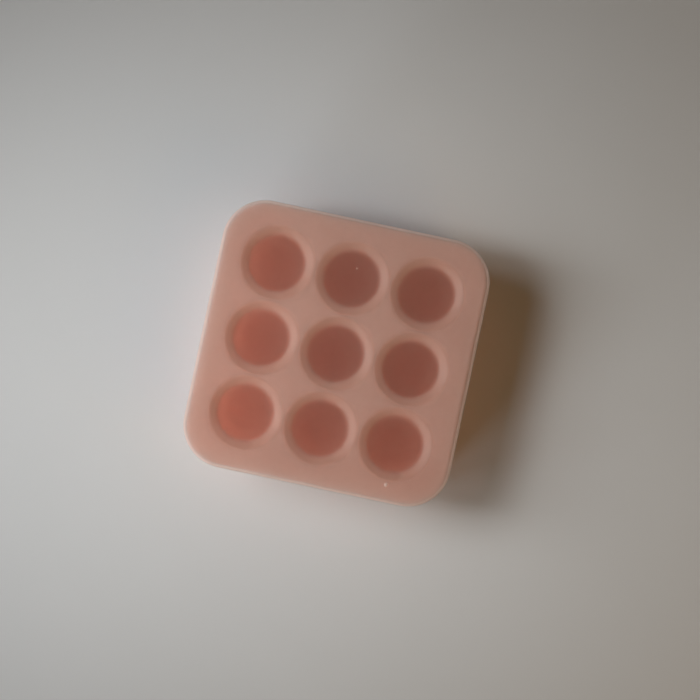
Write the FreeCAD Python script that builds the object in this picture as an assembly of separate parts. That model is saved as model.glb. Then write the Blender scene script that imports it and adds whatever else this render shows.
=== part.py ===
import FreeCAD, Part
import math
import os

V = FreeCAD.Vector
os.makedirs("parts", exist_ok=True)

# Baby food freezer tray: a one-piece soft silicone tray with nine round wells
# in a 3 x 3 grid, closed by a one-piece silicone lid.  Millimetres, +Z up,
# origin at the middle of the underside.

# ---------------------------------------------------------------- lid, seen from above
LID_SIDE = 160.0          # outside, flat to flat
LID_CORNER_R = 25.4       # vertical corner radius
LID_EDGE_R = 2.6          # rounding between lid top and skirt
LID_SHEET = 1.8           # thickness of the flat sheet
LID_SKIRT_T = 2.0         # thickness of the skirt that wraps the tray rim
LID_SKIRT_H = 6.8         # height of the skirt, from the lid top down
LID_FOOT_R = 0.7          # rounding of the skirt's lower edge

# ---------------------------------------------------------------- grid of wells
ROWS = 3
PITCH = 45.0              # centre to centre, both ways

# dished recess in the lid over each well
DISH_TOP_R = 21.1         # where the recess starts in the lid top
DISH_FLOOR_R = 16.7       # flat floor of the recess
DISH_DEPTH = 2.7
DISH_T = 1.6              # thickness of the recess wall and floor
DISH_EDGE_R = 0.9         # rounding at the top edge of the recess
DISH_FOOT_R = 2.4         # rounding where the sloping wall meets the floor

# ---------------------------------------------------------------- tray
TRAY_TOP = 46.0           # height of the tray deck
LID_GAP = 0.2             # sheet of the lid over the deck
FIT_GAP = 0.3             # lid to tray, measured square to the surfaces
DECK_T = 2.4
RIM_H = 3.6               # height of the thick rim lip that the lid wraps
RIM_EDGE_R = 1.1
BODY_SIDE_TOP = 151.2     # outer wall below the rim
BODY_SIDE_BOTTOM = 148.0  # outer wall at the base (drafted)
BODY_R_TOP = 21.1
BODY_R_BOTTOM = 19.5
BODY_WALL = 2.4
FOOT_EDGE_R = 0.8

WELL_TOP_R = 17.1         # inside, just under the mouth chamfer
WELL_BOTTOM_R = 15.7      # inside, above the bottom rounding
WELL_FLOOR_Z = 2.7        # inside floor of the well
WELL_BOTTOM_FILLET = 4.6
CUP_WALL = 2.0
CUP_BASE_Z = 0.5          # underside of the cup, just above what the tray stands on

# ---------------------------------------------------------------- small moulding marks on the lid
NUB_POS = (44.6, -69.4)   # gate mark near one edge
NUB_R = 1.15
NUB_H = 0.6
PIP_POS = (1.4, 51.6)     # smaller mark in the floor of one recess
PIP_R = 0.55
PIP_H = 0.3

LID_TOP = TRAY_TOP + LID_GAP + LID_SHEET


def rounded_square(side, r, z):
    """Closed wire: a square of flat sides with quarter-circle corners."""
    h = side / 2.0
    c = h - r
    k = r / math.sqrt(2.0)
    e = []
    for n in range(4):
        a = math.radians(90.0 * n)
        ca, sa = round(math.cos(a)), round(math.sin(a))

        def q(x, y):
            return V(x * ca - y * sa, x * sa + y * ca, z)

        e.append(Part.LineSegment(q(h, -c), q(h, c)).toShape())
        e.append(Part.Arc(q(h, c), q(c + k, c + k), q(c, h)).toShape())
    return Part.Wire(e)


def drafted(side0, r0, z0, side1, r1, z1):
    """Solid between two rounded squares."""
    return Part.makeLoft([rounded_square(side0, r0, z0),
                          rounded_square(side1, r1, z1)], True, True)


def straight(side, r, z0, z1):
    """Rounded square prism."""
    return Part.Face(rounded_square(side, r, z0)).extrude(V(0, 0, z1 - z0))


def turned(points, radii):
    """Solid of revolution about Z.

    points: (r, z) corners of a closed section whose first and last points
    lie on the axis; radii: the rounding at each corner.
    """
    n = len(points)
    edges = []
    last = V(points[0][0], 0, points[0][1])
    for i in range(1, n - 1):
        p = V(points[i][0], 0, points[i][1])
        a = V(points[i - 1][0], 0, points[i - 1][1]) - p
        b = V(points[i + 1][0], 0, points[i + 1][1]) - p
        a.normalize()
        b.normalize()
        r = radii[i]
        if r > 0:
            half = a.getAngle(b) / 2.0
            t = r / math.tan(half)
            mid = a + b
            mid.normalize()
            c = p + mid * (r / math.sin(half))
            s, f = p + a * t, p + b * t
            m = c - mid * r
            edges.append(Part.LineSegment(last, s).toShape())
            edges.append(Part.Arc(s, m, f).toShape())
            last = f
        else:
            edges.append(Part.LineSegment(last, p).toShape())
            last = p
    end = V(points[-1][0], 0, points[-1][1])
    edges.append(Part.LineSegment(last, end).toShape())
    edges.append(Part.LineSegment(end, V(points[0][0], 0, points[0][1])).toShape())
    return Part.Face(Part.Wire(edges)).revolve(V(0, 0, 0), V(0, 0, 1), 360)


def well_centres():
    k = (ROWS - 1) / 2.0
    return [((i - k) * PITCH, (j - k) * PITCH)
            for j in range(ROWS) for i in range(ROWS)]


def cap(pos, r, h, z):
    """Low dome standing on the plane z."""
    big = (r * r + h * h) / (2.0 * h)
    ball = Part.makeSphere(big, V(pos[0], pos[1], z + h - big))
    slab = Part.makeBox(4 * r, 4 * r, h + 0.3 + 1.0, V(pos[0] - 2 * r, pos[1] - 2 * r, z - 0.3))
    return ball.common(slab)


def edges_at(shape, z, least):
    """Edges lying in the plane z whose middle is at least this far from the axis."""
    out = []
    for e in shape.Edges:
        b = e.BoundBox
        if abs(b.ZMin - z) < 1e-4 and abs(b.ZMax - z) < 1e-4:
            c = e.valueAt((e.FirstParameter + e.LastParameter) / 2.0)
            if max(abs(c.x), abs(c.y)) >= least:
                out.append(e)
    return out


# slope of the recess wall, and the unit step square to it into the material
slope = (DISH_TOP_R - DISH_FLOOR_R) / DISH_DEPTH
length = math.hypot(DISH_TOP_R - DISH_FLOOR_R, DISH_DEPTH)
nr, nz = DISH_DEPTH / length, -(DISH_TOP_R - DISH_FLOOR_R) / length


def cone_r(z, off):
    """Radius, at height z, of the recess cone moved off into the material."""
    return DISH_TOP_R + off * nr - slope * (LID_TOP + off * nz - z)


# ---------------------------------------------------------------- tray
def make_tray():
    body = drafted(BODY_SIDE_BOTTOM, BODY_R_BOTTOM, 0.0,
                   BODY_SIDE_TOP, BODY_R_TOP, TRAY_TOP - 1.0)
    body = body.makeFillet(FOOT_EDGE_R, edges_at(body, 0.0, 50.0))
    rim_side = LID_SIDE - 2 * (LID_SKIRT_T + FIT_GAP)
    rim_r = LID_CORNER_R - LID_SKIRT_T - FIT_GAP
    rim = straight(rim_side, rim_r, TRAY_TOP - RIM_H, TRAY_TOP)
    rim = rim.makeFillet(RIM_EDGE_R, edges_at(rim, TRAY_TOP, 50.0)
                         + edges_at(rim, TRAY_TOP - RIM_H, 50.0))
    outer = body.fuse(rim).removeSplitter()
    hollow = drafted(BODY_SIDE_BOTTOM - 2 * BODY_WALL, BODY_R_BOTTOM - BODY_WALL, -0.001,
                     BODY_SIDE_TOP - 2 * BODY_WALL, BODY_R_TOP - BODY_WALL, TRAY_TOP - DECK_T)
    shell = outer.cut(hollow)

    # cups: thick cone under the mouth chamfer, tapered wall, rounded bottom
    z_mouth = TRAY_TOP - DECK_T
    r_neck = cone_r(z_mouth, DISH_T + FIT_GAP) + CUP_WALL + 0.6
    z_neck = z_mouth - 4.2
    top_r = WELL_TOP_R + CUP_WALL
    cup = turned([(0, CUP_BASE_Z), (WELL_BOTTOM_R + CUP_WALL, CUP_BASE_Z),
                  (top_r, z_neck), (r_neck, z_mouth - 0.9), (r_neck, z_mouth + 0.8), (0, z_mouth + 0.8)],
                 [0, WELL_BOTTOM_FILLET + CUP_WALL, 5.0, 1.2, 0, 0])

    # inside: mouth chamfer parallel to the recess wall of the lid, then the well
    off = DISH_T + FIT_GAP
    z_foot = TRAY_TOP - 2.6
    well = turned([(0, WELL_FLOOR_Z), (WELL_BOTTOM_R, WELL_FLOOR_Z),
                   (WELL_TOP_R, z_foot), (cone_r(TRAY_TOP, off), TRAY_TOP),
                   (cone_r(TRAY_TOP, off), TRAY_TOP + 3.0), (0, TRAY_TOP + 3.0)],
                  [0, WELL_BOTTOM_FILLET, 1.6, 0, 0, 0])
    tray = shell
    for x, y in well_centres():
        c = cup.copy()
        c.translate(V(x, y, 0))
        tray = tray.fuse(c)
    for x, y in well_centres():
        w = well.copy()
        w.translate(V(x, y, 0))
        tray = tray.cut(w)
    return tray.removeSplitter()


# ---------------------------------------------------------------- lid
def make_lid():
    z0 = LID_TOP - LID_SKIRT_H
    outer = straight(LID_SIDE, LID_CORNER_R, z0, LID_TOP)
    outer = outer.makeFillet(LID_EDGE_R, edges_at(outer, LID_TOP, 50.0))
    outer = outer.makeFillet(LID_FOOT_R, edges_at(outer, z0, 50.0))
    inner = straight(LID_SIDE - 2 * LID_SKIRT_T, LID_CORNER_R - LID_SKIRT_T,
                     z0 - 1.0, LID_TOP - LID_SHEET)
    inner = inner.makeFillet(0.8, edges_at(inner, LID_TOP - LID_SHEET, 50.0))
    lid = outer.cut(inner)

    z_floor = LID_TOP - DISH_DEPTH
    z_sheet = LID_TOP - LID_SHEET
    under_z = z_floor - DISH_T
    # material of the dish, below the sheet
    dish = turned([(0, under_z), (cone_r(under_z, DISH_T) - 0.25, under_z),
                   (cone_r(z_sheet, DISH_T), z_sheet),
                   (cone_r(z_sheet, DISH_T), z_sheet + 0.4), (0, z_sheet + 0.4)],
                  [0, 1.0, 0, 0, 0])
    # air above the dish
    air = turned([(0, z_floor), (DISH_FLOOR_R, z_floor), (DISH_TOP_R, LID_TOP),
                  (DISH_TOP_R + 3.0, LID_TOP), (DISH_TOP_R + 3.0, LID_TOP + 3.0), (0, LID_TOP + 3.0)],
                 [0, DISH_FOOT_R, DISH_EDGE_R, 0, 0, 0])
    for x, y in well_centres():
        d = dish.copy()
        d.translate(V(x, y, 0))
        lid = lid.fuse(d)
    for x, y in well_centres():
        a = air.copy()
        a.translate(V(x, y, 0))
        lid = lid.cut(a)
    lid = lid.fuse(cap(NUB_POS, NUB_R, NUB_H, LID_TOP))
    lid = lid.fuse(cap(PIP_POS, PIP_R, PIP_H, z_floor))
    return lid.removeSplitter()


tray = make_tray()
lid = make_lid()
for name, shape in (("tray", tray), ("lid", lid)):
    if shape.ShapeType != "Solid" and len(shape.Solids) == 1:
        shape = shape.Solids[0]
    b = shape.BoundBox
    print(name, "solids", len(shape.Solids), "valid", shape.isValid(),
          "volume cm3 %.1f" % (shape.Volume / 1000.0),
          "box %.2f %.2f %.2f .. %.2f %.2f %.2f" % (b.XMin, b.YMin, b.ZMin, b.XMax, b.YMax, b.ZMax))
    shape.exportStep("parts/%s.step" % name)
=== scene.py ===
import math

import bmesh
import bpy
from mathutils import Matrix, Vector, noise


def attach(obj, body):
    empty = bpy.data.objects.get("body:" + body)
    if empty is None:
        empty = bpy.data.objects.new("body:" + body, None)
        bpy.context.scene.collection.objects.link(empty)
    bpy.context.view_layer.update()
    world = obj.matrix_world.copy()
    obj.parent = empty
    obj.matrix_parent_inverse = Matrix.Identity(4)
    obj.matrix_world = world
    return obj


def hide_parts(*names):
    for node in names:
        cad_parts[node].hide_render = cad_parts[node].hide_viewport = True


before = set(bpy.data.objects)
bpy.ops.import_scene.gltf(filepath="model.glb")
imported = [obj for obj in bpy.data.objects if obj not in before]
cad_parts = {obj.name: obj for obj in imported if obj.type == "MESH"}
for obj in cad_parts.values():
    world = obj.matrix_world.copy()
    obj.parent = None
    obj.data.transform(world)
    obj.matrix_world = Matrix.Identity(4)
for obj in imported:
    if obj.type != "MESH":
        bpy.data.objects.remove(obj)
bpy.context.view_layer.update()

MM = 0.001

# ------------------------------------------------------------------ dimensions, millimetres
LID_SIDE, LID_R, LID_EDGE = 160.0, 25.4, 2.1
LID_TOP, LID_SHEET, SKIRT_T, SKIRT_H, FOOT_R = 48.0, 1.8, 2.0, 6.8, 0.7
PITCH = 45.0
DISH_TOP_R, DISH_FLOOR_R, DISH_DEPTH, DISH_T = 21.1, 16.7, 2.7, 1.6
FIT, RIM_FIT = 0.3, 0.12
TRAY_TOP, DECK_T, RIM_H, RIM_EDGE = 46.0, 2.4, 3.6, 0.45
BODY_TOP, BODY_BOTTOM, BODY_R_TOP, BODY_R_BOTTOM, BODY_WALL = 151.2, 148.0, 21.1, 19.5, 2.4
WELL_TOP_R, WELL_BOTTOM_R, WELL_FLOOR, WELL_FILLET = 17.1, 15.7, 2.7, 4.6
CUP_WALL, CUP_BASE = 2.0, 0.5
MOUTH_FILLET, FOOT_FILLET, EDGE_FILLET = 2.8, 2.4, 1.4
NUB, NUB_R, NUB_H = (44.6, -69.4), 1.15, 0.6
PIP, PIP_R, PIP_H = (1.4, 51.6), 0.55, 0.3

OUTER_WALL, SPREAD, WALL_SHARE, SOFT_RIM = 0.85, 1.15, 0.62, 2.2     # SPREAD: how far light blurs the walls, in millimetres
RIM_IN, FOOT_IN, FOOT_OUT = (0.8, 2.3), (14.5, 18.5), (20.6, 23.0)
SHADE_SHIFT = (-0.60, -0.54)                          # how far the inner edge of the foot mask is moved off each recess, in millimetres: the see-through disc moves left and down, painted shade on that side of each recess

SEG = 32                      # segments along each side of a cell, and in a quarter of a well
CELL = PITCH / 2
BLOCK = 1.5 * PITCH
C_REF = LID_SIDE / 2 - LID_R

_len = math.hypot(DISH_TOP_R - DISH_FLOOR_R, DISH_DEPTH)
_nr, _nz = DISH_DEPTH / _len, -(DISH_TOP_R - DISH_FLOOR_R) / _len
_slope = (DISH_TOP_R - DISH_FLOOR_R) / DISH_DEPTH


def cone_r(z, off):
    """Radius at height z of the recess cone moved off into the material."""
    return DISH_TOP_R + off * _nr - _slope * (LID_TOP + off * _nz - z)


# ------------------------------------------------------------------ profiles
def rounded(points, radii, step_deg=11.0):
    """Polyline with each corner replaced by a tangent arc."""
    out = [points[0]]
    for i in range(1, len(points) - 1):
        p, r = Vector(points[i]), radii[i]
        if r <= 0:
            out.append(tuple(p))
            continue
        a = (Vector(points[i - 1]) - p).normalized()
        b = (Vector(points[i + 1]) - p).normalized()
        half = a.angle(b) / 2
        t = r / math.tan(half)
        c = p + (a + b).normalized() * (r / math.sin(half))
        s, e = p + a * t, p + b * t
        turn = math.pi - 2 * half
        n = max(2, math.ceil(math.degrees(turn) / step_deg))
        v0 = s - c
        sign = 1.0 if (v0.x * (e - c).y - v0.y * (e - c).x) > 0 else -1.0
        for k in range(n + 1):
            ang = sign * turn * k / n
            ca, sa = math.cos(ang), math.sin(ang)
            out.append((c.x + v0.x * ca - v0.y * sa, c.y + v0.x * sa + v0.y * ca))
    out.append(points[-1])
    return out


def split(profile, longest):
    """Adds points so that no step is longer than longest."""
    out = [profile[0]]
    for a, b in zip(profile, profile[1:]):
        d = math.hypot(b[0] - a[0], b[1] - a[1])
        n = max(1, math.ceil(d / longest))
        for k in range(1, n + 1):
            out.append((a[0] + (b[0] - a[0]) * k / n, a[1] + (b[1] - a[1]) * k / n))
    return out


# ------------------------------------------------------------------ mesh pieces
class Shell:
    """Quads between loops of points; shared points are welded at the end."""

    def __init__(self):
        self.v, self.f = [], []

    def loop(self, pts):
        i = len(self.v)
        self.v.extend(pts)
        return list(range(i, i + len(pts)))

    def band(self, a, b):
        n = len(a)
        for m in range(n):
            k = (m + 1) % n
            self.f.append((a[m], b[m], b[k], a[k]))

    def bands(self, loops):
        for a, b in zip(loops, loops[1:]):
            self.band(a, b)

    def disc(self, cx, cy, r, z):
        """Flat round floor as a grid, whose edge meets a ring of 4 * SEG points."""
        t = [math.tan(math.radians(-45 + 90 * k / SEG)) for k in range(SEG + 1)]
        ids = {}
        for i, u in enumerate(t):
            for j, v in enumerate(t):
                s = max(abs(u), abs(v))
                if s < 1e-9:
                    p = (0.0, 0.0)
                else:
                    f = math.atan2(v, u)
                    w = s * s
                    p = ((1 - w) * 0.72 * u + w * s * math.cos(f), (1 - w) * 0.72 * v + w * s * math.sin(f))
                ids[i, j] = len(self.v)
                self.v.append((cx + r * p[0], cy + r * p[1], z))
        for i in range(SEG):
            for j in range(SEG):
                self.f.append((ids[i, j], ids[i + 1, j], ids[i + 1, j + 1], ids[i, j + 1]))

    def cell(self, cx, cy, profile, z_flat):
        """One well or recess: profile is (r, z) from the middle out; z_flat is the flat around it."""
        angles = [math.radians(-45 + 90 * m / SEG) for m in range(4 * SEG)]
        self.disc(cx, cy, profile[0][0], profile[0][1])
        loops = []
        for r, z in profile:
            loops.append(self.loop([(cx + r * math.cos(a), cy + r * math.sin(a), z) for a in angles]))
        r_last = profile[-1][0]
        for t in (0.3, 0.65, 1.0):
            pts = []
            for a in angles:
                full = CELL / max(abs(math.cos(a)), abs(math.sin(a)))
                r = r_last + (full - r_last) * t
                pts.append((cx + r * math.cos(a), cy + r * math.sin(a), z_flat))
            loops.append(self.loop(pts))
        self.bands(loops)

    def rim(self, rows):
        """rows: (t, h, r, z). t blends from the block of cells (0) to the rounded square h, r (1)."""
        stops = [PITCH * j + CELL * math.tan(math.radians(-45 + 90 * m / SEG))
                 for j in (-1, 0, 1) for m in range(SEG)]
        loops = []
        for t, h, r, z in rows:
            pts = []
            for side in range(4):
                ca, sa = ((1, 0), (0, 1), (-1, 0), (0, -1))[side]
                for s in stops:
                    c = h - r
                    if abs(s) <= C_REF:
                        x, y = h, s / C_REF * c
                    else:
                        f = math.radians(45) * (abs(s) - C_REF) / (BLOCK - C_REF)
                        x, y = c + r * math.cos(f), math.copysign(c + r * math.sin(f), s)
                    x, y = BLOCK + (x - BLOCK) * t, s + (y - s) * t
                    pts.append((x * ca - y * sa, x * sa + y * ca, z))
            loops.append(self.loop(pts))
        self.bands(loops)

    def build(self, name, wave, marks=(), thick=None):
        mesh = bpy.data.meshes.new(name)
        mesh.from_pydata([Vector(p) * MM for p in self.v], [], self.f)
        bm = bmesh.new()
        bm.from_mesh(mesh)
        bmesh.ops.remove_doubles(bm, verts=bm.verts, dist=2e-6)
        bmesh.ops.recalc_face_normals(bm, faces=bm.faces)
        for (mx, my), r, h, z0 in marks:
            near = [f for f in bm.faces
                    if (f.calc_center_median().xy - Vector((mx, my)) * MM).length < (r * 1.25 + 0.9) * MM
                    and abs(f.calc_center_median().z - z0 * MM) < 1e-6 and f.normal.z > 0.5]
            edges = {e for f in near for e in f.edges}
            bmesh.ops.subdivide_edges(bm, edges=list(edges), cuts=6, use_grid_fill=True)
            for v in bm.verts:
                if abs(v.co.z - z0 * MM) < 1e-6:
                    d = (v.co.xy - Vector((mx, my)) * MM).length / (r * MM)
                    if d < 1.0:
                        v.co.z += h * MM * (1 - d * d) ** 1.5 * (1 + 0.5 * d * d)
        bm.normal_update()
        for v in bm.verts:
            v.co += wave(v.co)
        for f in bm.faces:
            f.smooth = True
        bm.to_mesh(mesh)
        bm.free()
        if thick:
            for key, fn in thick.items():
                if key == "spread":
                    layer = mesh.attributes.new(key, "FLOAT_VECTOR", "POINT")
                    layer.data.foreach_set("vector", [c for v in mesh.vertices for c in fn(v.co / MM, v.normal)])
                else:
                    layer = mesh.attributes.new(key, "FLOAT", "POINT")
                    layer.data.foreach_set("value", [fn(v.co / MM) for v in mesh.vertices])
        ob = bpy.data.objects.new(name, mesh)
        bpy.context.scene.collection.objects.link(ob)
        return ob


def step(a, b, x):
    x = min(max((x - a) / (b - a), 0.0), 1.0)
    return x * x * (3 - 2 * x)


def from_outline(x, y):
    """How far inside the lid's outline a point is, in millimetres."""
    c = LID_SIDE / 2 - LID_R
    dx, dy = abs(x) - c, abs(y) - c
    return LID_R - math.hypot(max(dx, 0), max(dy, 0)) - min(max(dx, dy), 0)


def on_mark(co):
    """1 on the nub and the pip, 0 away from them."""
    return max(1 - step(r * 0.8, r * 1.4, math.hypot(co.x - x, co.y - y)) for (x, y), r in ((NUB, NUB_R), (PIP, PIP_R)))


def lid_rim_and_highlight(co):
    """1 on the rolled edge and skirt of the lid, where the rubber is thick across the view, 0 on the sheet; 0.8 on the
    nub and the pip. The paler colour sent back there paints part of their highlight.
    """
    return max(1 - step(RIM_IN[0], RIM_IN[1], from_outline(co.x, co.y)),
               0.8 * on_mark(co) if co.z > LID_TOP - DISH_DEPTH - 0.5 else 0.0)


def lid_soft(co):
    """How far the rolled edge is shaded as if it were turned upward."""
    return SOFT_RIM * (1 - step(RIM_IN[0], RIM_IN[1], from_outline(co.x, co.y))) \
        if co.z > LID_TOP - SKIRT_H + 1.0 else 0.0


def lid_foot(co):
    """1 at the rounded foot and wall of a recess, where the sheet thickens, 0 on the sheet and the recess floor. Its
    inner edge is moved off the middle of the recess, so the dark see-through disc reaches further out on the left and
    lower side: painted shade there.
    """
    near = [min(max(round(c / PITCH), -1), 1) * PITCH for c in (co.x, co.y)]
    r = math.hypot(co.x - near[0], co.y - near[1])
    inner = math.hypot(co.x - near[0] - SHADE_SHIFT[0], co.y - near[1] - SHADE_SHIFT[1])
    return step(FOOT_IN[0], FOOT_IN[1], inner) * (1 - step(FOOT_OUT[0], FOOT_OUT[1], r))


def blurred(co, n):
    """What to add to the normal of a recess wall to shade it as if its slope were spread over its surroundings."""
    near = [min(max(round(c / PITCH), -1), 1) * PITCH for c in (co.x, co.y)]
    d = Vector((co.x - near[0], co.y - near[1], 0.0))
    r = max(d.length, 1e-6)
    k = 1.0 / (math.sqrt(2) * SPREAD)
    slope = WALL_SHARE * 0.5 / _slope * (math.erf((r - DISH_FLOOR_R) * k) - math.erf((r - DISH_TOP_R) * k))
    want = Vector((-slope * d.x / r, -slope * d.y / r, 1.0)).normalized()
    return (want if n.z > 0 else -want) - n


def lid_spread(co, n):
    if from_outline(co.x, co.y) > 8.0:
        return blurred(co, n) * (1 - on_mark(co))
    return (0.0, 0.0, 0.0)


def tray_spread(co, n):
    near = [min(max(round(c / PITCH), -1), 1) * PITCH for c in (co.x, co.y)]
    r = math.hypot(co.x - near[0], co.y - near[1])
    if n.z > 0.2 and co.z > 42.6 and from_outline(co.x, co.y) > 8.0:
        return blurred(co, n) * step(17.4, 19.2, r)
    return (0.0, 0.0, 0.0)


def tray_cup(co):
    """1 on the thin walls and floors of the nine cups, 0 on the thick deck and lip, between them on the outer wall."""
    near = [min(max(round(c / PITCH), -1), 1) * PITCH for c in (co.x, co.y)]
    r = math.hypot(co.x - near[0], co.y - near[1])
    return (1 - step(39.0, 42.5, co.z)) * (1.0 if r < 20.5 else OUTER_WALL)


def wave(co):
    """The slight unevenness of a large soft moulding, the same for lid and tray so that they still nest."""
    up = min(max(co.z / (44 * MM), 0.0), 1.0)
    up = up * up * (3 - 2 * up)
    p = Vector((co.x / 0.075, co.y / 0.075, 3.1))
    dz = noise.noise(p) * 0.13 * MM
    q = Vector((co.x / 0.09, co.y / 0.09, 11.7))
    dx = noise.noise(q) * 0.16 * MM
    dy = noise.noise(q + Vector((31.0, 7.0, 5.0))) * 0.16 * MM
    return Vector((dx, dy, dz)) * up


# ------------------------------------------------------------------ lid
def make_lid():
    sh = Shell()
    z_sheet = LID_TOP - LID_SHEET
    z_floor = LID_TOP - DISH_DEPTH
    under = z_floor - DISH_T
    top = rounded([(DISH_FLOOR_R * 0.80, z_floor), (DISH_FLOOR_R, z_floor), (DISH_TOP_R, LID_TOP),
                   (DISH_TOP_R + 1.0, LID_TOP)], [0, FOOT_FILLET, EDGE_FILLET, 0], 4.5)
    top = split(top, 0.9)
    r_foot = cone_r(under, DISH_T) - 0.25
    bottom = rounded([(DISH_FLOOR_R * 0.80, under), (r_foot, under), (cone_r(z_sheet, DISH_T), z_sheet),
                      (cone_r(z_sheet, DISH_T) + 0.8, z_sheet)], [0, 1.0, 0.5, 0], 7.0)
    bottom = split(bottom, 1.2)
    for j in (-1, 0, 1):
        for i in (-1, 0, 1):
            sh.cell(i * PITCH, j * PITCH, top, LID_TOP)
            sh.cell(i * PITCH, j * PITCH, bottom, z_sheet)
    h, r = LID_SIDE / 2, LID_R
    z0 = LID_TOP - SKIRT_H
    rows = [(0.0, h, r, LID_TOP)]
    for t in (0.2, 0.4, 0.6, 0.8, 1.0):
        rows.append((t, h - LID_EDGE, r - LID_EDGE, LID_TOP))
    for k in range(1, 11):
        a = math.radians(9 * k)
        d = LID_EDGE * (1 - math.sin(a))
        rows.append((1, h - d, r - d, LID_TOP - LID_EDGE * (1 - math.cos(a))))
    # fine parting line half way down the skirt, where the two halves of the mould meet
    z_part = z0 + 2.4
    z_top = LID_TOP - LID_EDGE
    for z, e in ((z_top - 0.6, 0), (z_part + 0.9, 0), (z_part + 0.22, -0.03), (z_part + 0.1, -0.02), (z_part, 0.0),
                 (z_part - 0.1, -0.02), (z_part - 0.22, -0.05), (z_part - 0.9, -0.06), (z0 + FOOT_R, -0.06)):
        rows.append((1, h + e, r + e, z))
    for k in range(1, 7):
        a = math.radians(15 * k)
        d = FOOT_R * (1 - math.cos(a)) + 0.06
        rows.append((1, h - d, r - d, z0 + FOOT_R * (1 - math.sin(a))))
    hi, ri = h - SKIRT_T, r - SKIRT_T
    for k in range(0, 5):
        a = math.radians(22.5 * k)
        d = 0.45 * (1 - math.sin(a))
        rows.append((1, hi + d, ri + d, z0 + 0.45 * (1 - math.cos(a))))
    rows += [(1, hi, ri, z0 + 2.2), (1, hi, ri, z_sheet - 0.8)]
    for k in range(1, 6):
        a = math.radians(18 * k)
        d = 0.8 * (1 - math.cos(a))
        rows.append((1, hi - d, ri - d, z_sheet - 0.8 + 0.8 * math.sin(a)))
    for t in (0.75, 0.5, 0.25, 0.0):
        rows.append((t, hi - 0.8, ri - 0.8, z_sheet))
    sh.rim(rows)
    return sh.build("lid_silicone", wave, [(NUB, NUB_R, NUB_H, LID_TOP), (PIP, PIP_R, PIP_H, z_floor)],
                    {"rim": lid_rim_and_highlight, "foot": lid_foot, "soft": lid_soft, "spread": lid_spread})


# ------------------------------------------------------------------ tray
def make_tray():
    sh = Shell()
    off = DISH_T + FIT
    z_deck = TRAY_TOP - DECK_T
    mouth = cone_r(TRAY_TOP, off)
    inside = rounded([(WELL_BOTTOM_R * 0.66, WELL_FLOOR), (WELL_BOTTOM_R, WELL_FLOOR),
                      (WELL_TOP_R, TRAY_TOP - 2.6), (mouth, TRAY_TOP), (mouth + 0.6, TRAY_TOP)],
                     [0, WELL_FILLET, MOUTH_FILLET, 0.35, 0], 12.0)
    inside = split(inside, 8.0)
    neck = cone_r(z_deck, off) + CUP_WALL + 0.6
    outside = rounded([((WELL_BOTTOM_R + CUP_WALL) * 0.55, CUP_BASE), (WELL_BOTTOM_R + CUP_WALL, CUP_BASE),
                       (WELL_TOP_R + CUP_WALL, z_deck - 4.2), (neck, z_deck - 0.9), (neck, z_deck),
                       (neck + 0.9, z_deck)],
                      [0, WELL_FILLET + CUP_WALL, 5.0, 0.3, 0.55, 0], 14.0)
    outside = split(outside, 12.0)
    for j in (-1, 0, 1):
        for i in (-1, 0, 1):
            sh.cell(i * PITCH, j * PITCH, inside, TRAY_TOP)
            sh.cell(i * PITCH, j * PITCH, outside, z_deck)
    h = LID_SIDE / 2 - SKIRT_T - RIM_FIT
    r = LID_R - SKIRT_T - RIM_FIT
    z1 = TRAY_TOP - RIM_H

    def body(z):
        f = z / (TRAY_TOP - 1.0)
        return (BODY_BOTTOM + (BODY_TOP - BODY_BOTTOM) * f) / 2, BODY_R_BOTTOM + (BODY_R_TOP - BODY_R_BOTTOM) * f

    rows = [(0.0, h, r, TRAY_TOP)]
    for t in (0.33, 0.66, 1.0):
        rows.append((t, h - RIM_EDGE, r - RIM_EDGE, TRAY_TOP))
    for k in range(1, 7):
        a = math.radians(15 * k)
        d = RIM_EDGE * (1 - math.sin(a))
        rows.append((1, h - d, r - d, TRAY_TOP - RIM_EDGE * (1 - math.cos(a))))
    for k in range(0, 7):
        a = math.radians(15 * k)
        d = RIM_EDGE * (1 - math.cos(a))
        rows.append((1, h - d, r - d, z1 + RIM_EDGE * (1 - math.sin(a))))
    bh, br = body(z1)
    f = 0.5                                   # soft inner corner under the lip
    for k in range(0, 5):
        a = math.radians(22.5 * k)
        d = f * (1 - math.sin(a))
        rows.append((1, bh + d, br + d, z1 - f * (1 - math.cos(a))))
    n = 4
    for k in range(1, n + 1):
        z = (z1 - f) + (0.8 - (z1 - f)) * k / n
        hh, rr = body(z)
        rows.append((1, hh, rr, z))
    hh, rr = body(0.8)
    for k in range(1, 6):
        a = math.radians(18 * k)
        d = 0.8 * (1 - math.cos(a))
        rows.append((1, hh - d, rr - d, 0.8 * (1 - math.sin(a))))
    hi0, ri0 = body(0.0)
    hi0, ri0 = hi0 - BODY_WALL, ri0 - BODY_WALL
    for k in range(0, 5):
        a = math.radians(22.5 * k)
        d = 0.5 * (1 - math.sin(a))
        rows.append((1, hi0 + d, ri0 + d, 0.5 * (1 - math.cos(a))))
    for k in range(1, n + 1):
        z = 0.5 + (z_deck - 0.8 - 0.5) * k / n
        hh, rr = body(z)
        rows.append((1, hh - BODY_WALL, rr - BODY_WALL, z))
    hh, rr = body(z_deck)
    hh, rr = hh - BODY_WALL, rr - BODY_WALL
    for k in range(1, 6):
        a = math.radians(18 * k)
        d = 0.8 * (1 - math.cos(a))
        rows.append((1, hh - d, rr - d, z_deck - 0.8 + 0.8 * math.sin(a)))
    for t in (0.66, 0.33, 0.0):
        rows.append((t, hh - 0.8, rr - 0.8, z_deck))
    sh.rim(rows)
    return sh.build("tray_silicone", wave, thick={"foot": tray_cup, "spread": tray_spread})


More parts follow.
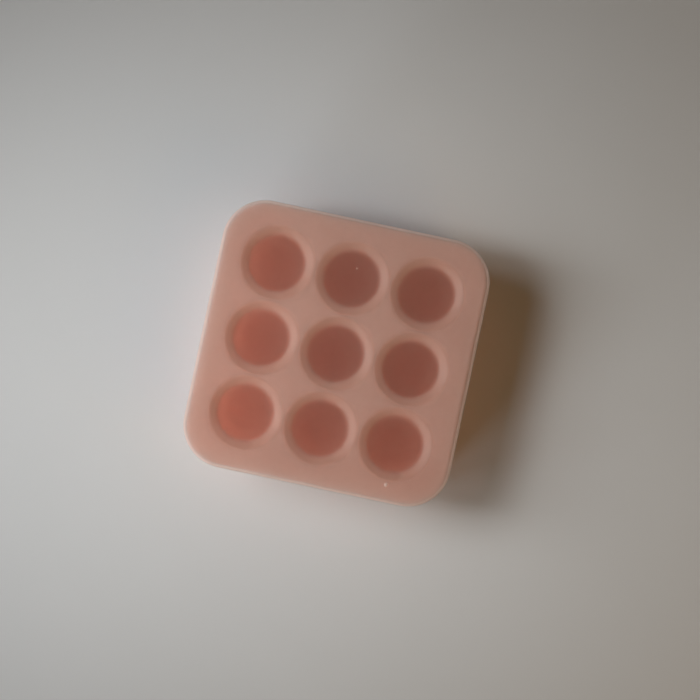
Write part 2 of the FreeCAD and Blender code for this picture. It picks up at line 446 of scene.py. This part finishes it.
# ------------------------------------------------------------------ materials
def silicone(name, reflect, through, share, rough, seed, see_through=0.0, gloss_amount=1.0, rim=None, foot=None):
    """Thin translucent silicone: light is sent back from, or let through, each wall once. rim is (share, colour sent
    back) where the attribute of that name is 1; that paler colour paints part of the highlight on the rolled edge,
    the nub and the pip. foot is (share, part of see_through that is kept, colour let
    through, and where it differs the colour sent back)."""
    mat = bpy.data.materials.new(name)
    mat.use_nodes = True
    nt = mat.node_tree
    nt.nodes.clear()
    N = nt.nodes.new

    def link(a, b):
        nt.links.new(a, b)

    out = N("ShaderNodeOutputMaterial")
    tc = N("ShaderNodeTexCoord")
    shift = N("ShaderNodeMapping")
    shift.inputs["Location"].default_value = (seed, seed * 1.7, seed * 0.6)
    link(tc.outputs["Object"], shift.inputs["Vector"])

    def noise_tex(scale, detail, roughness=0.5):
        t = N("ShaderNodeTexNoise")
        t.inputs["Scale"].default_value = scale
        t.inputs["Detail"].default_value = detail
        t.inputs["Roughness"].default_value = roughness
        link(shift.outputs["Vector"], t.inputs["Vector"])
        return t

    broad = noise_tex(22.0, 2.0)
    fine = noise_tex(240.0, 4.0, 0.6)
    grain = noise_tex(2600.0, 3.0, 0.6)

    def tinted(colour, amount):
        """colour with broad clouding and a faint fine mottle."""
        dark = tuple(c * (1 - amount) for c in colour)
        light = tuple(min(1.0, c * (1 + amount)) for c in colour)
        ramp = N("ShaderNodeMix")
        ramp.data_type = "RGBA"
        mul = N("ShaderNodeMath")
        mul.operation = "MULTIPLY_ADD"
        mul.inputs[1].default_value = 0.45
        link(fine.outputs["Fac"], mul.inputs[0])
        half = N("ShaderNodeMath")
        half.operation = "MULTIPLY"
        half.inputs[1].default_value = 0.55
        link(broad.outputs["Fac"], half.inputs[0])
        link(half.outputs[0], mul.inputs[2])
        wide = N("ShaderNodeMapRange")
        wide.inputs["From Min"].default_value = 0.32
        wide.inputs["From Max"].default_value = 0.68
        link(mul.outputs[0], wide.inputs["Value"])
        link(wide.outputs["Result"], ramp.inputs[0])
        ramp.inputs[6].default_value = (*dark, 1)
        ramp.inputs[7].default_value = (*light, 1)
        return ramp.outputs[2]

    def named(key):
        a = N("ShaderNodeAttribute")
        a.attribute_name = key
        return a.outputs["Fac"]

    def lerp(fac, a, b):
        """a where fac is 0, b where it is 1; a may be a socket."""
        m = N("ShaderNodeMix")
        m.data_type = "FLOAT"
        link(fac, m.inputs[0])
        for v, s in ((a, m.inputs[2]), (b, m.inputs[3])):
            if isinstance(v, float):
                s.default_value = v
            else:
                link(v, s)
        return m.outputs[0]

    share_s, see_s, base_s, through_s = share, see_through, tinted(reflect, 0.035), tinted(through, 0.035)
    if foot:
        deeper = N("ShaderNodeMix")
        deeper.data_type = "RGBA"
        link(named("foot"), deeper.inputs[0])
        link(through_s, deeper.inputs[6])
        deeper.inputs[7].default_value = (*foot[2], 1)
        through_s = deeper.outputs[2]
        if len(foot) > 3:
            other = N("ShaderNodeMix")
            other.data_type = "RGBA"
            link(named("foot"), other.inputs[0])
            link(base_s, other.inputs[6])
            other.inputs[7].default_value = (*foot[3], 1)
            base_s = other.outputs[2]
        share_s = lerp(named("foot"), share, foot[0])
        see_s = lerp(named("foot"), see_through, see_through * foot[1])
    if rim:
        share_s = lerp(named("rim"), share_s, rim[0])
        see_s = lerp(named("rim"), see_s, 0.0)
        # the paler rim colour paints part of the highlight on the rolled edge, the nub and the pip
        painted_highlight_mix = N("ShaderNodeMix")
        painted_highlight_mix.data_type = "RGBA"
        link(named("rim"), painted_highlight_mix.inputs[0])
        link(base_s, painted_highlight_mix.inputs[6])
        painted_highlight_mix.inputs[7].default_value = (*rim[1], 1)
        base_s = painted_highlight_mix.outputs[2]

    p = N("ShaderNodeBsdfPrincipled")
    link(base_s, p.inputs["Base Color"])
    p.inputs["IOR"].default_value = 1.42
    p.inputs["Specular IOR Level"].default_value = 0.0
    rough_map = N("ShaderNodeMapRange")
    rough_map.inputs["From Min"].default_value = 0.3
    rough_map.inputs["From Max"].default_value = 0.7
    rough_map.inputs["To Min"].default_value = rough - 0.05
    rough_map.inputs["To Max"].default_value = rough + 0.06
    link(fine.outputs["Fac"], rough_map.inputs["Value"])
    link(rough_map.outputs["Result"], p.inputs["Roughness"])

    bump1 = N("ShaderNodeBump")
    bump1.inputs["Strength"].default_value = 0.16
    bump1.inputs["Distance"].default_value = 0.00025
    link(fine.outputs["Fac"], bump1.inputs["Height"])
    bump2 = N("ShaderNodeBump")
    bump2.inputs["Strength"].default_value = 0.22
    bump2.inputs["Distance"].default_value = 0.00004
    link(grain.outputs["Fac"], bump2.inputs["Height"])
    link(bump1.outputs["Normal"], bump2.inputs["Normal"])
    # light spreads inside recess walls and rolled edges, so their shading turns softly
    def turned(normal, by):
        add = N("ShaderNodeVectorMath")
        add.operation = "ADD"
        link(normal, add.inputs[0])
        link(by, add.inputs[1])
        unit = N("ShaderNodeVectorMath")
        unit.operation = "NORMALIZE"
        link(add.outputs[0], unit.inputs[0])
        return unit.outputs[0]

    aside = N("ShaderNodeAttribute")
    aside.attribute_name = "spread"
    inner = turned(bump2.outputs["Normal"], aside.outputs["Vector"])
    outer = inner
    if rim:
        lift = N("ShaderNodeCombineXYZ")
        link(named("soft"), lift.inputs[2])
        outer = turned(inner, lift.outputs[0])
    link(outer, p.inputs["Normal"])

    tr = N("ShaderNodeBsdfTranslucent")
    link(through_s, tr.inputs["Color"])
    link(inner, tr.inputs["Normal"])

    def feed(value, socket):
        if isinstance(value, float):
            socket.default_value = value
        else:
            link(value, socket)

    mix = N("ShaderNodeMixShader")
    feed(share_s, mix.inputs[0])
    link(p.outputs[0], mix.inputs[1])
    link(tr.outputs[0], mix.inputs[2])

    # a wall sends light back or on where it is entered, and lets it out unchanged
    geo = N("ShaderNodeNewGeometry")
    clear = N("ShaderNodeBsdfTransparent")
    lean = N("ShaderNodeLayerWeight")
    lean.inputs["Blend"].default_value = 0.5
    square = N("ShaderNodeMath")
    square.operation = "MULTIPLY"
    link(lean.outputs["Facing"], square.inputs[0])
    link(lean.outputs["Facing"], square.inputs[1])
    rest = N("ShaderNodeMath")
    rest.operation = "MULTIPLY_ADD"
    rest.use_clamp = True
    link(square.outputs[0], rest.inputs[0])
    rest.inputs[1].default_value = -1.2
    rest.inputs[2].default_value = 1.2
    link(rest.outputs[0], clear.inputs["Color"])
    side = N("ShaderNodeMixShader")
    link(geo.outputs["Backfacing"], side.inputs[0])
    if see_through:
        straight = N("ShaderNodeBsdfTransparent")
        straight.inputs["Color"].default_value = (*through, 1)
        part = N("ShaderNodeMixShader")
        feed(see_s, part.inputs[0])
        link(mix.outputs[0], part.inputs[1])
        link(straight.outputs[0], part.inputs[2])
        mix = part
    gloss = N("ShaderNodeBsdfGlossy")
    link(rough_map.outputs["Result"], gloss.inputs["Roughness"])
    link(bump2.outputs["Normal"], gloss.inputs["Normal"])
    grazing = N("ShaderNodeFresnel")
    grazing.inputs["IOR"].default_value = 1.42
    link(bump2.outputs["Normal"], grazing.inputs["Normal"])
    matte = N("ShaderNodeMath")
    matte.operation = "MULTIPLY"
    matte.inputs[1].default_value = gloss_amount
    link(grazing.outputs[0], matte.inputs[0])
    coat = N("ShaderNodeMixShader")
    link(matte.outputs[0], coat.inputs[0])
    link(mix.outputs[0], coat.inputs[1])
    link(gloss.outputs[0], coat.inputs[2])
    mix = coat
    link(mix.outputs[0], side.inputs[1])
    link(clear.outputs[0], side.inputs[2])
    link(side.outputs[0], out.inputs["Surface"])
    return mat


def plain_floor(name, colour):
    mat = bpy.data.materials.new(name)
    mat.use_nodes = True
    nt = mat.node_tree
    p = nt.nodes["Principled BSDF"]
    tc = nt.nodes.new("ShaderNodeTexCoord")
    t = nt.nodes.new("ShaderNodeTexNoise")
    t.inputs["Scale"].default_value = 9.0
    t.inputs["Detail"].default_value = 3.0
    nt.links.new(tc.outputs["Object"], t.inputs["Vector"])
    m = nt.nodes.new("ShaderNodeMix")
    m.data_type = "RGBA"
    m.inputs[6].default_value = (*[c * 0.985 for c in colour], 1)
    m.inputs[7].default_value = (*[min(1, c * 1.015) for c in colour], 1)
    nt.links.new(t.outputs["Fac"], m.inputs[0])
    nt.links.new(m.outputs[2], p.inputs["Base Color"])
    p.inputs["Roughness"].default_value = 0.75
    p.inputs["Specular IOR Level"].default_value = 0.25
    return mat


lid = make_lid()
# the rim colour (0.95, 0.74, 0.64) is paler: a painted highlight on the rolled edge, the nub and the pip
lid.data.materials.append(silicone(
    "lid_silicone", (0.95, 0.54, 0.40), (0.985, 0.88, 0.83), 0.86, 0.44, 0.31, 0.35, 0.5,
    rim=(0.40, (0.95, 0.74, 0.64)), foot=(0.86, 0.2, (0.99, 0.85, 0.775))))
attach(lid, "lid")
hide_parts("lid")

tray = make_tray()
tray.data.materials.append(silicone(
    "tray_silicone", (0.80, 0.60, 0.535), (0.97, 0.44, 0.33), 0.25, 0.45, 4.7, 0.0, 0.5,
    foot=(0.66, 0.0, (0.985, 0.54, 0.43), (0.98, 0.70, 0.60))))
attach(tray, "tray")
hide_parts("tray")

# ------------------------------------------------------------------ floor, light, camera
TURN = math.radians(12.0)          # how far the tray is turned in the view
RIGHT = Vector((math.cos(TURN), math.sin(TURN), 0))
UP = Vector((-math.sin(TURN), math.cos(TURN), 0))

bm = bmesh.new()
bmesh.ops.create_grid(bm, x_segments=8, y_segments=8, size=3.0)
floor_mesh = bpy.data.meshes.new("floor")
bm.to_mesh(floor_mesh)
bm.free()
floor = bpy.data.objects.new("floor", floor_mesh)
floor.location.z = -0.00005
bpy.context.scene.collection.objects.link(floor)
floor.data.materials.append(plain_floor("pale_floor", (0.673, 0.654, 0.636)))

# the floor further off fades into an even pale backdrop, seen only by the camera; it lights nothing
FAR = (0.300, 0.291, 0.283)
FADE = (0.29, 0.44)


def backdrop_ring(name, colour):
    radii = (0.29, 0.34, 0.40, 0.48, 0.62, 1.0, 3.0, 20.0)
    verts = [(r * math.cos(math.radians(5 * k)), r * math.sin(math.radians(5 * k)), 0.0) for r in radii for k in range(72)]
    faces = [(i * 72 + k, (i + 1) * 72 + k, (i + 1) * 72 + (k + 1) % 72, i * 72 + (k + 1) % 72)
             for i in range(len(radii) - 1) for k in range(72)]
    mesh = bpy.data.meshes.new(name)
    mesh.from_pydata(verts, [], faces)
    ob = bpy.data.objects.new(name, mesh)
    ob.location.z = -0.00002
    ob.visible_diffuse = ob.visible_glossy = ob.visible_transmission = ob.visible_shadow = False
    bpy.context.scene.collection.objects.link(ob)
    mat = bpy.data.materials.new(name)
    mat.use_nodes = True
    mat.cycles.emission_sampling = "NONE"
    nt = mat.node_tree
    nt.nodes.clear()
    tc = nt.nodes.new("ShaderNodeTexCoord")
    length = nt.nodes.new("ShaderNodeVectorMath")
    length.operation = "LENGTH"
    nt.links.new(tc.outputs["Object"], length.inputs[0])
    fade = nt.nodes.new("ShaderNodeMapRange")
    fade.interpolation_type = "SMOOTHSTEP"
    fade.inputs["From Min"].default_value, fade.inputs["From Max"].default_value = FADE
    nt.links.new(length.outputs["Value"], fade.inputs["Value"])
    glow = nt.nodes.new("ShaderNodeEmission")
    glow.inputs["Color"].default_value = (*colour, 1)
    clear = nt.nodes.new("ShaderNodeBsdfTransparent")
    mix = nt.nodes.new("ShaderNodeMixShader")
    nt.links.new(fade.outputs["Result"], mix.inputs[0])
    nt.links.new(clear.outputs[0], mix.inputs[1])
    nt.links.new(glow.outputs[0], mix.inputs[2])
    out = nt.nodes.new("ShaderNodeOutputMaterial")
    nt.links.new(mix.outputs[0], out.inputs["Surface"])
    ob.data.materials.append(mat)
    return ob


backdrop_ring("backdrop", FAR)


def soft_light(name, place, aim, width, height, power, colour, spread=180):
    """Area light at place, facing aim; both are (right, up, z) in the view, in metres."""
    data = bpy.data.lights.new(name, "AREA")
    data.shape = "RECTANGLE"
    data.size, data.size_y = width, height
    data.energy = power * 1.188
    data.color = colour
    data.spread = math.radians(spread)
    ob = bpy.data.objects.new(name, data)
    ob.location = RIGHT * place[0] + UP * place[1] + Vector((0, 0, place[2]))
    d = RIGHT * aim[0] + UP * aim[1] + Vector((0, 0, aim[2])) - ob.location
    ob.rotation_euler = d.to_track_quat("-Z", "Y").to_euler()
    ob.visible_camera = False
    bpy.context.scene.collection.objects.link(ob)
    return ob


# a window on the left, as panes 0.7 m away: (up, z), power; the sill and the low fills reach in under it
KEY, LOW, ROOM = (0.946, 1.0, 1.035), (0.893, 1.0, 1.105), (1.441, 1.0, 0.526)
PANE, HEART, CORNER = 0.7, (0.01, 0, 0.02), (-0.07, -0.05, 0.02)
for n, (u, z, power, aim, tint) in enumerate((
        (0.15, 0.55, 0.0390, HEART, KEY), (0.15, 0.85, 0.0987, HEART, KEY), (0.15, 1.2, 0.1440, HEART, KEY),
        (0.6, 1.2, 0.0980, HEART, KEY), (0.15, 1.6, 0.0850, HEART, KEY), (0.6, 1.6, 0.0380, HEART, KEY),
        (0.15, 0.55, 0.0600, CORNER, KEY), (-0.4, 0.85, 0.0380, CORNER, KEY),
        (-0.3, 0.32, 0.0515, CORNER, LOW), (0.4, 0.32, 0.0170, HEART, LOW))):
    soft_light("window_pane_%d" % n, (-PANE, u * PANE, z * PANE), aim, 0.30, 0.20, power, tint, 50)
soft_light("low_fill", (-PANE, -1.0 * PANE, 0.32 * PANE), HEART, 0.30, 0.20, 0.573, LOW, 90)
soft_light("room_bounce", (0.9, -0.9, 0.7), (0, 0, 0.1), 1.0, 1.0, 2.60, ROOM)
soft_light("wall_bounce", (1.2, 0, 0.35), (0, 0, 0.05), 2.0, 0.6, 0.60, ROOM)

world = bpy.data.worlds.new("soft_room")
world.use_nodes = True
bg = world.node_tree.nodes["Background"]
bg.inputs["Color"].default_value = (*FAR, 1)
bg.inputs["Strength"].default_value = 1.0
seen = world.cycles_visibility
seen.diffuse = seen.glossy = seen.transmission = seen.scatter = False
bpy.context.scene.world = world

cam_data = bpy.data.cameras.new("camera")
cam = bpy.data.objects.new("camera", cam_data)
bpy.context.scene.collection.objects.link(cam)
PX = 160.0 / 272.4 * MM                        # metres per pixel of a 700 px frame at the lid
HEIGHT = 1.0
cam_data.sensor_width = 36.0
cam_data.sensor_fit = "HORIZONTAL"
cam_data.lens = 36.0 * HEIGHT / (700 * PX)
cam.location = RIGHT * (350 - 336.4) * PX + UP * (353.5 - 350) * PX + Vector((0, 0, LID_TOP * MM + HEIGHT))
cam.rotation_euler = (0, 0, TURN)
cam_data.clip_end = 50.0
bpy.context.scene.camera = cam

bpy.context.scene.view_settings.view_transform = "Standard"
bpy.context.scene.view_settings.look = "None"

bpy.context.view_layer.update()
